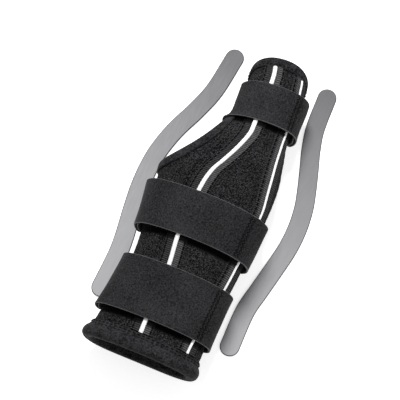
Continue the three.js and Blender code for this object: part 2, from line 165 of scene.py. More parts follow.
# Sections of the sleeve. at: share of SLEEVE_LENGTH. left, right: shares of HAND_WIDTH.
# low, high: shares of HAND_DEPTH. flat: power of the oval below the widest place.
SECTIONS = [
    {"at": 0.0, "left": -0.43, "right": 0.5, "low": 0.0, "high": 0.93, "flat": 3.0},
    {"at": 0.087, "left": -0.405, "right": 0.495, "low": 0.0, "high": 0.9, "flat": 3.0},
    {"at": 0.173, "left": -0.38, "right": 0.487, "low": 0.0, "high": 0.87, "flat": 3.0},
    {"at": 0.279, "left": -0.372, "right": 0.487, "low": 0.0, "high": 0.885, "flat": 3.0},
    {"at": 0.385, "left": -0.41, "right": 0.497, "low": 0.0, "high": 0.936, "flat": 3.0},
    {"at": 0.51, "left": -0.462, "right": 0.506, "low": 0.0, "high": 1.0, "flat": 3.0},
    {"at": 0.606, "left": -0.5, "right": 0.5, "low": 0.0, "high": 0.99, "flat": 2.9},
    {"at": 0.673, "left": -0.475, "right": 0.48, "low": 0.0, "high": 0.95, "flat": 2.8},
    {"at": 0.731, "left": -0.36, "right": 0.442, "low": 0.015, "high": 0.895, "flat": 2.6},
    {"at": 0.779, "left": -0.215, "right": 0.407, "low": 0.03, "high": 0.83, "flat": 2.4},
    {"at": 0.817, "left": -0.128, "right": 0.385, "low": 0.035, "high": 0.785, "flat": 2.3},
    {"at": 0.88, "left": -0.128, "right": 0.365, "low": 0.03, "high": 0.745, "flat": 2.2},
    {"at": 0.942, "left": -0.141, "right": 0.355, "low": 0.02, "high": 0.713, "flat": 2.2},
    {"at": 1.0, "left": -0.154, "right": 0.328, "low": 0.0, "high": 0.67, "flat": 2.2},
    {"at": 1.08, "left": -0.17, "right": 0.295, "low": 0.0, "high": 0.64, "flat": 2.2},
]

# Lines of the pockets' middles. at: share of SLEEVE_LENGTH. x: share of HAND_WIDTH.
PALM_POCKET_LINE = [
    {"at": 0.0, "x": 0.012},
    {"at": 0.09, "x": -0.006},
    {"at": 0.27, "x": -0.032},
    {"at": 0.375, "x": -0.071},
    {"at": 0.535, "x": -0.07},
    {"at": 0.595, "x": -0.046},
    {"at": 0.64, "x": 0.004},
    {"at": 0.7, "x": 0.06},
    {"at": 0.755, "x": 0.09},
    {"at": 0.8, "x": 0.085},
    {"at": 0.94, "x": 0.067},
    {"at": 1.0, "x": 0.026},
    {"at": 1.08, "x": 0.02},
]
BACK_POCKET_LINE = [
    {"at": 0.0, "x": 0.393},
    {"at": 0.1, "x": 0.393},
    {"at": 0.3, "x": 0.439},
    {"at": 0.53, "x": 0.452},
    {"at": 0.6, "x": 0.428},
    {"at": 0.765, "x": 0.361},
    {"at": 0.8, "x": 0.35},
    {"at": 0.95, "x": 0.307},
    {"at": 1.0, "x": 0.266},
    {"at": 1.08, "x": 0.228},
]

# Middle lines of the stays, from the wrist end. at: share of the line. x: in STAY_WIDTH from the start's x.
# Each start is the x and y of the line's first point, in millimetres.
PALM_STAY_LINE = [
    {"at": 0.0, "x": 0.0},
    {"at": 0.16, "x": -0.02},
    {"at": 0.31, "x": -0.35},
    {"at": 0.39, "x": -0.51},
    {"at": 0.47, "x": -0.57},
    {"at": 0.55, "x": -0.5},
    {"at": 0.65, "x": -0.18},
    {"at": 0.75, "x": 0.34},
    {"at": 0.85, "x": 0.74},
    {"at": 1.0, "x": 0.95},
]
BACK_STAY_LINE = [
    {"at": 0.0, "x": 0.0},
    {"at": 0.14, "x": -0.04},
    {"at": 0.23, "x": 0.17},
    {"at": 0.32, "x": 0.39},
    {"at": 0.41, "x": 0.58},
    {"at": 0.49, "x": 0.61},
    {"at": 0.57, "x": 0.48},
    {"at": 0.64, "x": 0.22},
    {"at": 0.72, "x": -0.14},
    {"at": 0.79, "x": -0.47},
    {"at": 0.87, "x": -0.73},
    {"at": 1.0, "x": -0.85},
]
PALM_STAY_START = (-42.0, 33.5)
BACK_STAY_START = (51.0, 33.5)

# start: degrees round the section. turn: the way round. overlap: degrees that the end lies over the start.
# seam: degrees round the section of the stitched bar on the back of the hand.
STRAPS = [
    {
        "name": "wrist_strap", "width": 37.0, "at": 0.183,
        "start": 168, "turn": 1, "overlap": 46, "seam": 38,
    },
    {
        "name": "hand_strap", "width": 30.0, "at": 0.442,
        "start": 168, "turn": 1, "overlap": 46, "seam": 41,
    },
    {
        "name": "thumb_strap", "width": 28.0, "at": 0.874,
        "start": 12, "turn": -1, "overlap": 60, "seam": 41,
    },
]


# The sleeve's skin

def column(table, key, share):
    """Smooth value of one column of a table at shares of the length."""
    at = np.array([row["at"] for row in table])
    value = np.array([row[key] for row in table])
    last = len(at) - 1
    share = np.asarray(share, float)
    i = np.clip(np.searchsorted(at[1:], share, side="left"), 0, last - 1)
    before = np.maximum(np.arange(last + 1) - 1, 0)
    after = np.minimum(np.arange(last + 1) + 1, last)
    slope = (value[after] - value[before]) / (at[after] - at[before])
    span = at[i + 1] - at[i]
    t = (share - at[i]) / span
    return (
        value[i] * (2 * t**3 - 3 * t**2 + 1)
        + slope[i] * span * (t**3 - 2 * t**2 + t)
        + value[i + 1] * (3 * t**2 - 2 * t**3)
        + slope[i + 1] * span * (t**3 - t**2)
    )


def skin(y, angle, lift=0.0):
    """Points of the sleeve's outer face at distances y and angles, moved out along the section's normal."""
    y, angle, lift = np.broadcast_arrays(*(np.asarray(v, float) for v in (y, angle, lift)))
    share = y / SLEEVE_LENGTH
    left = column(SECTIONS, "left", share) * HAND_WIDTH
    right = column(SECTIONS, "right", share) * HAND_WIDTH
    low = REST_HEIGHT + column(SECTIONS, "low", share) * HAND_DEPTH
    high = REST_HEIGHT + column(SECTIONS, "high", share) * HAND_DEPTH
    flat = column(SECTIONS, "flat", share)
    middle, half = (left + right) / 2, (right - left) / 2
    waist = low + (high - low) * WIDEST_HEIGHT
    c, s = np.cos(angle), np.sin(angle)
    power = np.where(s >= 0, 2 / CROWN_ROUNDNESS, 2 / flat)
    rise = np.where(s >= 0, high - waist, (waist - low) * FLATTENED)
    x = half * np.sign(c) * np.abs(c) ** power
    z = rise * np.sign(s) * np.abs(s) ** power
    exponent = 2 / power - 1
    nx = np.sign(x) * np.abs(x / half) ** exponent / half
    nz = np.sign(z) * np.abs(z / rise) ** exponent / rise
    size = np.maximum(np.hypot(nx, nz), 1e-12)
    grounded = waist + z < low
    px = np.where(grounded, middle + x, middle + x + nx / size * lift)
    pz = np.where(grounded, low - lift, waist + z + nz / size * lift)
    return np.stack([px, y, pz], axis=-1)


def smoothstep(v, low, high):
    """0 up to low, 1 from high, and a smooth rise between them."""
    t = np.clip((np.asarray(v, float) - low) / (high - low), 0, 1)
    return t * t * (3 - 2 * t)


def tilt_at(y):
    """Millimetres along for each millimetre across, of the ring at distance y."""
    grown = smoothstep(np.asarray(y, float) / SLEEVE_LENGTH, TILT_GROWS["from"], TILT_GROWS["to"])
    return CUFF_TILT + (RIM_TILT - CUFF_TILT) * grown


def leaning(level, angle, lift=0.0):
    """Points of the skin on rings that lie askew, and take on the thumb rim's lean over the thumb."""
    upright = skin(level, angle, lift)
    over_thumb = smoothstep(np.asarray(level, float) / SLEEVE_LENGTH, HOLE_WEB["at"], 1)
    lean = RIM_LEAN * (upright[..., 2] - RIM_MIDDLE_HEIGHT) * over_thumb
    return skin(level + lean + tilt_at(level) * upright[..., 0], angle, lift)


def on_strap(strap, across, angle, lift):
    """Points over a strap's place, across millimetres from its middle line, off the skin by lift."""
    middle = strap["at"] * SLEEVE_LENGTH
    level = middle + across
    return skin(level + tilt_at(middle) * skin(level, angle, lift)[..., 0], angle, lift)


def painted_strap_shadow(points):
    """How strongly the cloth at points is darkened below a strap's lower edge, as its painted shadow, from 0
    to 1.
    """
    fades_from = 0.6 * PAINTED_SHADOW_REACH
    most = np.zeros(points.shape[:-1])
    for strap in STRAPS:
        middle = strap["at"] * SLEEVE_LENGTH
        ring = points[..., 1] - tilt_at(middle) * points[..., 0] - middle
        below = -strap["width"] / 2 - ring
        shade = smoothstep(below, -PAINTED_SHADOW_REACH, 0) * (1 - smoothstep(below, fades_from, PAINTED_SHADOW_REACH))
        most = np.maximum(most, shade)
    return most


def angles_beside(y, x, distances):
    """Angles on the section at y, distances round the fabric from the crown point whose x is given."""
    angle = np.linspace(-math.pi / 3, 4 * math.pi / 3, 481)
    points = skin(y, angle)
    length = np.concatenate([[0], np.cumsum(np.linalg.norm(np.diff(points, axis=0), axis=1))])
    top = (angle > 0) & (angle < math.pi)
    home = np.interp(-x, -points[top, 0], length[top])
    return np.interp(home - np.asarray(distances), length, angle)


# Meshes

def stay_outline(line, start, inset=0.0):
    """Plan outline of a stay, as its two long sides joined by half circles."""
    stations, end_steps = 96, 24
    run = STAY_LENGTH - STAY_WIDTH
    at = np.linspace(0, 1, stations + 1)
    centre = np.stack([start[0] + column(line, "x", at) * STAY_WIDTH, start[1] + run * at], axis=1)
    tangent = np.gradient(centre, axis=0)
    tangent /= np.linalg.norm(tangent, axis=1)[:, None]
    side = np.stack([tangent[:, 1], -tangent[:, 0]], axis=1)
    half = STAY_WIDTH / 2 - inset

    def end(middle, forward):
        turns = np.linspace(-math.pi / 2, math.pi / 2, end_steps + 1)[1:-1]
        c, s = np.cos(turns)[:, None], np.sin(turns)[:, None]
        return middle + half * (c * forward + s * np.array([-forward[1], forward[0]]))

    return np.concatenate([
        centre + side * half,
        end(centre[-1], tangent[-1]),
        (centre - side * half)[::-1],
        end(centre[0], -tangent[0]),
    ])


palm_low = stay_outline(PALM_STAY_LINE, PALM_STAY_START).min(axis=0)
cad_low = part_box("palm_stay")[0]
SHIFT = np.array([palm_low[0] - cad_low.x / MM, palm_low[1] - cad_low.y / MM, 0.0])


def place(points):
    """Sleeve millimetres to the frame's metres."""
    return (np.asarray(points) - SHIFT) * MM


def new_piece(name, points, faces, materials, lay=None, smooth=True, face_material=None):
    """A mesh object. lay: each point's place on the cloth in mm, along and across, and its painted strap
    shadow.
    """
    mesh = bpy.data.meshes.new(name)
    mesh.from_pydata(place(points).tolist(), [], faces)
    if lay is not None:
        layer = mesh.attributes.new("lay", "FLOAT_VECTOR", "POINT")
        flat = np.zeros((len(points), 3), np.float32)
        flat[:, : lay.shape[1]] = lay
        layer.data.foreach_set("vector", flat.ravel())
    for material in materials:
        mesh.materials.append(material)
    if face_material is not None:
        mesh.polygons.foreach_set("material_index", face_material)
    bm = bmesh.new()
    bm.from_mesh(mesh)
    bmesh.ops.recalc_face_normals(bm, faces=bm.faces)
    bm.to_mesh(mesh)
    bm.free()
    mesh.polygons.foreach_set("use_smooth", [smooth] * len(mesh.polygons))
    mesh.update()
    piece = bpy.data.objects.new(name, mesh)
    bpy.context.scene.collection.objects.link(piece)
    return piece


def grid_faces(rows, cols, joined=False, first=0):
    """Quads between closed rows of points. joined: the last row joins the first. first: the first point."""
    i = np.arange(rows if joined else rows - 1)[:, None]
    j = np.arange(cols)[None, :]
    ni, nj = (i + 1) % rows, (j + 1) % cols
    quads = np.stack([i * cols + j, i * cols + nj, ni * cols + nj, ni * cols + j], axis=-1)
    return (quads.reshape(-1, 4) + first).tolist()


def solid(name, rows, materials, lay=None, joined=False, face_material=None):
    """A closed piece through rows of rings. joined: the last row joins the first, instead of end faces."""
    rows = np.asarray(rows)
    n, m = rows.shape[:2]
    faces = grid_faces(n, m, joined)
    if not joined:
        faces.append(list(range(m)))
        faces.append([(n - 1) * m + k for k in range(m)])
        if face_material is not None:
            face_material = np.concatenate([face_material, [0, 0]])
    lay_flat = None if lay is None else np.asarray(lay).reshape(n * m, -1)
    return new_piece(name, rows.reshape(-1, 3), faces, materials, lay_flat, face_material=face_material)


rng = np.random.default_rng(7)
WAVES = [(rng.normal(size=3), rng.uniform(0, 2 * math.pi)) for _ in range(14)]

# A vector of three numbers with a normal spread is about this long on average.
MEAN_DIRECTION_LENGTH = 1.6


def waviness(points, wavelength):
    """Smooth random height of about -1 to 1 over points, at a wavelength in mm."""
    total = np.zeros(points.shape[:-1])
    for direction, phase in WAVES:
        radians_per_mm = direction * 2 * math.pi / wavelength / MEAN_DIRECTION_LENGTH
        total += np.sin(points @ radians_per_mm + phase)
    return total / math.sqrt(len(WAVES))


# Materials

def linear(code):
    """An sRGB hex colour as linear RGBA."""
    parts = [int(code[i : i + 2], 16) / 255 for i in (1, 3, 5)]
    return (*(c / 12.92 if c <= 0.04045 else ((c + 0.055) / 1.055) ** 2.4 for c in parts), 1.0)


def add(tree, kind, inputs=None, **settings):
    """Adds a node with its settings, and sets or links its inputs."""
    node = tree.nodes.new(kind)
    for name, value in settings.items():
        setattr(node, name, value)
    for key, value in (inputs or {}).items():
        if isinstance(value, bpy.types.NodeSocket):
            tree.links.new(value, node.inputs[key])
        else:
            node.inputs[key].default_value = value
    return node


def new_material(name):
    """A material with no nodes yet, and its tree."""
    material = bpy.data.materials.new(name)
    material.use_nodes = True
    material.node_tree.nodes.clear()
    return material, material.node_tree


def per_metre(size_mm):
    """Texture scale, over metres, of a pattern whose grain is size_mm across."""
    return 1 / (size_mm * MM)


def per_band(pitch_mm):
    """Scale of the wave texture over millimetres, where straight bands are pi / 10 apart at a scale of 1."""
    return math.pi / 10 / pitch_mm


# Laminated pile over foam: loops brushed into a crumb, black between the tips and grey on them, quite matt.
# The loops are drawn 0.8 mm across and the crumb's dents 1.5 mm, coarser than the real ones, so that they
# show. Below the straps the pile is darkened with a painted shadow.
def sleeve_pile():
    material, tree = new_material("brushed_pile_laminate")
    where = add(tree, "ShaderNodeTexCoord").outputs["Object"]
    loops = add(tree, "ShaderNodeTexNoise", {
        "Vector": where, "Scale": per_metre(0.8), "Detail": 2.0, "Roughness": 0.75,
    })
    crumb = add(tree, "ShaderNodeTexVoronoi", {"Vector": where, "Scale": per_metre(1.5)})
    cloud = add(tree, "ShaderNodeTexNoise", {"Vector": where, "Scale": per_metre(16.0), "Detail": 2.0})
    tips = add(tree, "ShaderNodeMapRange", {
        "Value": loops.outputs["Fac"], "From Min": 0.43, "From Max": 0.68,
    })
    speckle = add(tree, "ShaderNodeMix", {
        0: tips.outputs[0], 6: linear("#030303"), 7: linear("#49494b"),
    }, data_type="RGBA")
    shade = add(tree, "ShaderNodeMapRange", {
        "Value": cloud.outputs["Fac"], "From Min": 0.3, "From Max": 0.7, "To Min": 0.65, "To Max": 1.0,
    })
    clouded = add(tree, "ShaderNodeMix", {
        0: 1.0, 6: speckle.outputs[2], 7: shade.outputs[0],
    }, data_type="RGBA", blend_type="MULTIPLY")
    # Painted shadow of the straps: lay's Z takes the colour to near black below each strap's lower edge.
    lay = add(tree, "ShaderNodeAttribute", attribute_name="lay").outputs["Vector"]
    painted_shadow = add(tree, "ShaderNodeSeparateXYZ", {"Vector": lay}).outputs["Z"]
    colour = add(tree, "ShaderNodeMix", {
        0: painted_shadow, 6: clouded.outputs[2], 7: linear("#020202"),
    }, data_type="RGBA")
    height = add(tree, "ShaderNodeMath", {
        0: loops.outputs["Fac"], 1: crumb.outputs["Distance"],
    }, operation="SUBTRACT")
    bump = add(tree, "ShaderNodeBump", {"Height": height.outputs[0], "Strength": 0.8, "Distance": 0.5 * MM})
    shader = add(tree, "ShaderNodeBsdfPrincipled", {
        "Base Color": colour.outputs[2], "Roughness": 0.95, "Specular IOR Level": 0.05,
        "Normal": bump.outputs[0],
    })
    add(tree, "ShaderNodeOutputMaterial", {"Surface": shader.outputs[0]})
    return material


# Stretch knit binding: smoother than the pile, and softly mottled, as it is pulled over the edge.
# The knit is drawn 1.1 mm across, coarser than real, so that it shows.
def binding_knit():
    material, tree = new_material("stretch_knit_binding")
    where = add(tree, "ShaderNodeTexCoord").outputs["Object"]
    grain = add(tree, "ShaderNodeTexNoise", {
        "Vector": where, "Scale": per_metre(1.1), "Detail": 2.0, "Roughness": 0.6,
    })
    pull = add(tree, "ShaderNodeTexNoise", {"Vector": where, "Scale": per_metre(5.0), "Detail": 1.0})
    mixed = add(tree, "ShaderNodeMix", {0: 0.25, 2: grain.outputs["Fac"], 3: pull.outputs["Fac"]})
    spread = add(tree, "ShaderNodeMapRange", {
        "Value": mixed.outputs[0], "From Min": 0.38, "From Max": 0.64,
    })
    colour = add(tree, "ShaderNodeMix", {
        0: spread.outputs[0], 6: linear("#101011"), 7: linear("#38383a"),
    }, data_type="RGBA")
    bump = add(tree, "ShaderNodeBump", {
        "Height": grain.outputs["Fac"], "Strength": 0.6, "Distance": 0.25 * MM,
    })
    shader = add(tree, "ShaderNodeBsdfPrincipled", {
        "Base Color": colour.outputs[2], "Roughness": 0.85, "Specular IOR Level": 0.08,
        "Normal": bump.outputs[0],
    })
    add(tree, "ShaderNodeOutputMaterial", {"Surface": shader.outputs[0]})
    return material


# Woven grosgrain tape: ribs across its length at a pitch of 1.3 mm, drawn coarser than real so that they
# show. One band of it is a paler grey: its middle and half width are millimetres across from the piping.
# Its channels are painted black at each stitch, as shade in the dimple it pulls in. Below the straps the
# tape is darkened with a painted shadow, as the pile is.
def grosgrain_tape(side, pale_middle, pale_half):
    material, tree = new_material("grosgrain_tape_" + side)
    lay = add(tree, "ShaderNodeAttribute", attribute_name="lay").outputs["Vector"]
    ribs = add(tree, "ShaderNodeTexWave", {
        "Vector": lay, "Scale": per_band(1.3), "Distortion": 0.6, "Detail": 1.0,
    }, bands_direction="X")
    where = add(tree, "ShaderNodeTexCoord").outputs["Object"]
    fibre = add(tree, "ShaderNodeTexNoise", {"Vector": where, "Scale": per_metre(1.4), "Detail": 3.0})
    both = add(tree, "ShaderNodeMath", {
        0: ribs.outputs["Fac"], 1: fibre.outputs["Fac"],
    }, operation="MULTIPLY")
    place_on = add(tree, "ShaderNodeSeparateXYZ", {"Vector": lay}).outputs
    in_band = add(tree, "ShaderNodeMath", {
        0: place_on["Y"], 1: pale_middle, 2: pale_half,
    }, operation="COMPARE")
    dark = add(tree, "ShaderNodeMix", {
        0: both.outputs[0], 6: linear("#070708"), 7: linear("#58585a"),
    }, data_type="RGBA")
    pale = add(tree, "ShaderNodeMix", {
        0: both.outputs[0], 6: linear("#202022"), 7: linear("#787879"),
    }, data_type="RGBA")
    woven = add(tree, "ShaderNodeMix", {
        0: in_band.outputs[0], 6: dark.outputs[2], 7: pale.outputs[2],
    }, data_type="RGBA")
    reach = add(tree, "ShaderNodeMath", {0: place_on["Y"]}, operation="ABSOLUTE")
    in_channel = add(tree, "ShaderNodeMath", {
        0: reach.outputs[0], 1: CHANNEL, 2: CHANNEL_HALF,
    }, operation="COMPARE")
    stitches_per_mm = 1 / (POCKET_STITCH["length"] + POCKET_STITCH["gap"])
    stitches = add(tree, "ShaderNodeMath", {0: place_on["X"], 1: stitches_per_mm}, operation="MULTIPLY")
    through_stitch = add(tree, "ShaderNodeMath", {0: stitches.outputs[0]}, operation="FRACT")
    # Painted shade in the channels: black where each stitch pulls the tape in.
    pulled_in = add(tree, "ShaderNodeMath", {
        0: through_stitch.outputs[0], 1: CHANNEL_SHADE_SHARE,
    }, operation="LESS_THAN")
    stitch_dimple_shade = add(tree, "ShaderNodeMath", {
        0: in_channel.outputs[0], 1: pulled_in.outputs[0],
    }, operation="MULTIPLY")
    # Painted shade: near black in the stitches' dimples and in the straps' shadow.
    black = add(tree, "ShaderNodeMath", {0: stitch_dimple_shade.outputs[0], 1: place_on["Z"]}, operation="MAXIMUM")
    colour = add(tree, "ShaderNodeMix", {
        0: black.outputs[0], 6: woven.outputs[2], 7: linear("#030303"),
    }, data_type="RGBA")
    bump = add(tree, "ShaderNodeBump", {
        "Height": both.outputs[0], "Strength": 0.7, "Distance": 0.2 * MM,
    })
    shader = add(tree, "ShaderNodeBsdfPrincipled", {
        "Base Color": colour.outputs[2], "Roughness": 0.85, "Specular IOR Level": 0.1,
        "Normal": bump.outputs[0],
    })
    add(tree, "ShaderNodeOutputMaterial", {"Surface": shader.outputs[0]})
    return material


# Coated white piping: bright and even, with a faint twill that runs across it on the slant.
# The twill is drawn with a pitch of 2.4 mm along the piping, coarser than real. The wave texture sets
# slanting bands twice as far apart as straight ones, measured along one axis.
def white_piping():
    material, tree = new_material("coated_piping")
    lay = add(tree, "ShaderNodeAttribute", attribute_name="lay").outputs["Vector"]
    twill = add(tree, "ShaderNodeTexWave", {
        "Vector": lay, "Scale": 2 * per_band(2.4),
    }, bands_direction="DIAGONAL")
    colour = add(tree, "ShaderNodeMix", {
        0: twill.outputs["Fac"], 6: linear("#ededed"), 7: linear("#ffffff"),
    }, data_type="RGBA")
    bump = add(tree, "ShaderNodeBump", {
        "Height": twill.outputs["Fac"], "Strength": 0.25, "Distance": 0.1 * MM,
    })
    shader = add(tree, "ShaderNodeBsdfPrincipled", {
        "Base Color": colour.outputs[2], "Roughness": 0.5, "Normal": bump.outputs[0],
    })
    add(tree, "ShaderNodeOutputMaterial", {"Surface": shader.outputs[0]})
    return material


# Short-nap loop cloth: a soft black velvet with a fine tooth, cloudy where the nap lies two ways.
# The tooth is drawn 0.9 mm across, coarser than real, so that it shows.
def loop_cloth():
    material, tree = new_material("short_nap_loop_cloth")
    where = add(tree, "ShaderNodeTexCoord").outputs["Object"]
    nap = add(tree, "ShaderNodeTexNoise", {
        "Vector": where, "Scale": per_metre(0.9), "Detail": 2.0, "Roughness": 0.7,
    })
    cloud = add(tree, "ShaderNodeTexNoise", {"Vector": where, "Scale": per_metre(26.0), "Detail": 1.0})
    mixed = add(tree, "ShaderNodeMix", {0: 0.22, 2: nap.outputs["Fac"], 3: cloud.outputs["Fac"]})
    spread = add(tree, "ShaderNodeMapRange", {
        "Value": mixed.outputs[0], "From Min": 0.36, "From Max": 0.66,
    })
    colour = add(tree, "ShaderNodeMix", {
        0: spread.outputs[0], 6: linear("#0d0d0e"), 7: linear("#39393b"),
    }, data_type="RGBA")
    bump = add(tree, "ShaderNodeBump", {
        "Height": nap.outputs["Fac"], "Strength": 0.35, "Distance": 0.15 * MM,
    })
    shader = add(tree, "ShaderNodeBsdfPrincipled", {
        "Base Color": colour.outputs[2], "Roughness": 0.9, "Specular IOR Level": 0.06,
        "Sheen Weight": 0.03, "Sheen Roughness": 0.35, "Normal": bump.outputs[0],
    })
    add(tree, "ShaderNodeOutputMaterial", {"Surface": shader.outputs[0]})
    return material


# Cut edge of the loop cloth, where the grey foam of the laminate shows, drawn lighter as a painted highlight
# along the edge. Its cells are drawn 1.5 mm across, coarser than real.
def cut_edge():
    material, tree = new_material("laminate_cut_edge")
    where = add(tree, "ShaderNodeTexCoord").outputs["Object"]
    foam = add(tree, "ShaderNodeTexNoise", {"Vector": where, "Scale": per_metre(1.5), "Detail": 2.0})
    colour = add(tree, "ShaderNodeMix", {
        0: foam.outputs["Fac"], 6: linear("#464648"), 7: linear("#7c7c7e"),
    }, data_type="RGBA")
    shader = add(tree, "ShaderNodeBsdfPrincipled", {
        "Base Color": colour.outputs[2], "Roughness": 0.95, "Specular IOR Level": 0.1,
    })
    add(tree, "ShaderNodeOutputMaterial", {"Surface": shader.outputs[0]})
    return material


# Bonded polyester thread: black and twisted, and drawn matt so that its rows stay dark.
# Its twist is drawn 0.6 mm across, coarser than real.
def bonded_thread():
    material, tree = new_material("bonded_thread")
    where = add(tree, "ShaderNodeTexCoord").outputs["Object"]
    twist = add(tree, "ShaderNodeTexNoise", {"Vector": where, "Scale": per_metre(0.6), "Detail": 1.0})
    colour = add(tree, "ShaderNodeMix", {
        0: twist.outputs["Fac"], 6: linear("#010101"), 7: linear("#111112"),
    }, data_type="RGBA")
    shader = add(tree, "ShaderNodeBsdfPrincipled", {
        "Base Color": colour.outputs[2], "Roughness": 0.7, "Specular IOR Level": 0.05,
    })
    add(tree, "ShaderNodeOutputMaterial", {"Surface": shader.outputs[0]})
    return material


# Aluminium strip with a satin rolled finish: fine grain along the strip, and soft broad reflections.
# The grain is drawn 0.8 mm wide, coarser than real. The colour goes from a paler grey at the wrist end to a
# darker one at the finger end, as in the photograph.
def satin_aluminium():
    material, tree = new_material("satin_aluminium")
    where = add(tree, "ShaderNodeTexCoord").outputs["Object"]
    drawn_out = add(tree, "ShaderNodeMapping", {"Vector": where, "Scale": (1.0, 0.06, 1.0)})
    grain = add(tree, "ShaderNodeTexNoise", {
        "Vector": drawn_out.outputs[0], "Scale": per_metre(0.8), "Detail": 3.0,
    })
    lay = add(tree, "ShaderNodeAttribute", attribute_name="lay").outputs["Vector"]
    along = add(tree, "ShaderNodeSeparateXYZ", {"Vector": lay}).outputs["X"]
    to_finger_end = add(tree, "ShaderNodeMapRange", {"Value": along, "From Max": STAY_LENGTH})
    rough = add(tree, "ShaderNodeMapRange", {"Value": grain.outputs["Fac"], "To Min": 0.6, "To Max": 0.74})
    paler = add(tree, "ShaderNodeMix", {
        0: grain.outputs["Fac"], 6: linear("#a6a6a8"), 7: linear("#b2b2b4"),
    }, data_type="RGBA")
    darker = add(tree, "ShaderNodeMix", {
        0: grain.outputs["Fac"], 6: linear("#616163"), 7: linear("#6a6a6c"),
    }, data_type="RGBA")
    colour = add(tree, "ShaderNodeMix", {
        0: to_finger_end.outputs[0], 6: paler.outputs[2], 7: darker.outputs[2],
    }, data_type="RGBA")
    bump = add(tree, "ShaderNodeBump", {
        "Height": grain.outputs["Fac"], "Strength": 0.06, "Distance": 0.1 * MM,
    })
    shader = add(tree, "ShaderNodeBsdfPrincipled", {
        "Base Color": colour.outputs[2], "Metallic": 1.0, "Roughness": rough.outputs[0],
        "Normal": bump.outputs[0],
    })
    add(tree, "ShaderNodeOutputMaterial", {"Surface": shader.outputs[0]})
    return material


# Sheared and tumbled edge of the aluminium strip: painted darker than its faces, as shade along the strip's
# sides, and faintly mottled, with the mottling drawn 1.2 mm across, coarser than real.
def aluminium_edge_shaded():
    material, tree = new_material("sheared_aluminium_edge")
    where = add(tree, "ShaderNodeTexCoord").outputs["Object"]
    tumbled = add(tree, "ShaderNodeTexNoise", {"Vector": where, "Scale": per_metre(1.2), "Detail": 3.0})
    colour = add(tree, "ShaderNodeMix", {
        0: tumbled.outputs["Fac"], 6: linear("#38383a"), 7: linear("#5a5a5c"),
    }, data_type="RGBA")
    shader = add(tree, "ShaderNodeBsdfPrincipled", {
        "Base Color": colour.outputs[2], "Metallic": 1.0, "Roughness": 0.7,
    })
    add(tree, "ShaderNodeOutputMaterial", {"Surface": shader.outputs[0]})
    return material


PILE = sleeve_pile()
KNIT = binding_knit()
PIPING = white_piping()
LOOP = loop_cloth()
EDGE = cut_edge()
PALM_TAPE = grosgrain_tape("palm", **PALM_PALE)
BACK_TAPE = grosgrain_tape("back", **BACK_PALE)
THREAD = bonded_thread()
METAL = satin_aluminium()
EDGE_SHADED = aluminium_edge_shaded()


def settle(piece, node=None):
    """The piece moves with the splint and, if node is named, hides that solid, which the piece stands in
    for.
    """
    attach(piece, "root")
    if node:
        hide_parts(node)


# The hand hole's edge

def hole_plan(inset, overrun, arc_steps):
    """Plan line of the hand hole's edge, from beyond the palm's flank to beyond the web."""
    palm = np.array([HOLE_PALM["x"] * HAND_WIDTH, HOLE_PALM["at"] * SLEEVE_LENGTH])
    web = np.array([HOLE_WEB["x"] * HAND_WIDTH, HOLE_WEB["at"] * SLEEVE_LENGTH])
    chord = web - palm
    half = np.linalg.norm(chord) / 2
    hollow = HOLE_HOLLOW * HAND_WIDTH
    radius = (half**2 + hollow**2) / (2 * hollow)
    side = np.array([-chord[1], chord[0]]) / (2 * half)
    centre = (palm + web) / 2 + side * (radius - hollow)
    start = math.atan2(*(palm - centre)[::-1])
    turn = start + 2 * math.asin(half / radius) * np.linspace(0, 1, arc_steps + 1)
    arc = centre + (radius + inset) * np.stack([np.cos(turn), np.sin(turn)], axis=1)
    back = np.array([math.sin(start), -math.cos(start)])
    out = np.array([-1.0, 1.0]) / math.sqrt(2)
    far = np.linspace(1, 0, arc_steps // 2, endpoint=False)[:, None] * overrun
    return np.concatenate([arc[0] + back * far, arc, arc[-1] + out * far[::-1]])


def hole_loop(count):
    """Closed line of the hand hole's edge on the skin, as evenly spaced points."""
    plan = hole_plan(0, HOLE_LINE_OVERRUN, 3000)
    left = column(SECTIONS, "left", plan[:, 1] / SLEEVE_LENGTH) * HAND_WIDTH
    plan = plan[plan[:, 0] > left + 1e-4]
    quarter = np.linspace(0, math.pi / 2, 500)
    stations = 900
    halves = []
    for turn in (-1, 1):
        angle = math.pi + turn * quarter
        points = []
        for x, y in plan[:: max(1, len(plan) // stations)]:
            section = skin(y, angle)
            points.append(skin(y, np.interp(x, section[:, 0], angle)))
        halves.append(np.array(points))
    loop = np.concatenate([halves[0], halves[1][::-1]])
    for _ in range(3):
        closed = np.concatenate([loop, loop[:1]])
        length = np.concatenate([[0], np.cumsum(np.linalg.norm(np.diff(closed, axis=0), axis=1))])
        wanted = np.linspace(0, length[-1], count, endpoint=False)
        loop = np.stack([np.interp(wanted, length, closed[:, k]) for k in range(3)], axis=1)
        loop = (np.roll(loop, 1, axis=0) + 2 * loop + np.roll(loop, -1, axis=0)) / 4
    return loop


def onto_skin(points):
    """The nearest points of the skin's sections on the palm's side, and their outward normals."""
    margin, slack = 0.35, 0.3
    angle = np.linspace(math.pi / 2 - margin, 3 * math.pi / 2 + margin, 420)
    section = skin(points[:, 1:2], angle[None, :])
    outside = skin(points[:, 1:2], angle[None, :], 1.0)
    gap = np.linalg.norm((section - points[:, None, :])[..., [0, 2]], axis=-1)
    nearest = gap.argmin(axis=1)
    rows = np.arange(len(points))
    base = section[rows, nearest]
    normal = outside[rows, nearest] - base
    along = np.stack([-normal[:, 2], np.zeros(len(points)), normal[:, 0]], axis=1)
    slide = ((points - base) * along).sum(axis=1)[:, None]
    return base + along * np.clip(slide, -slack, slack), normal


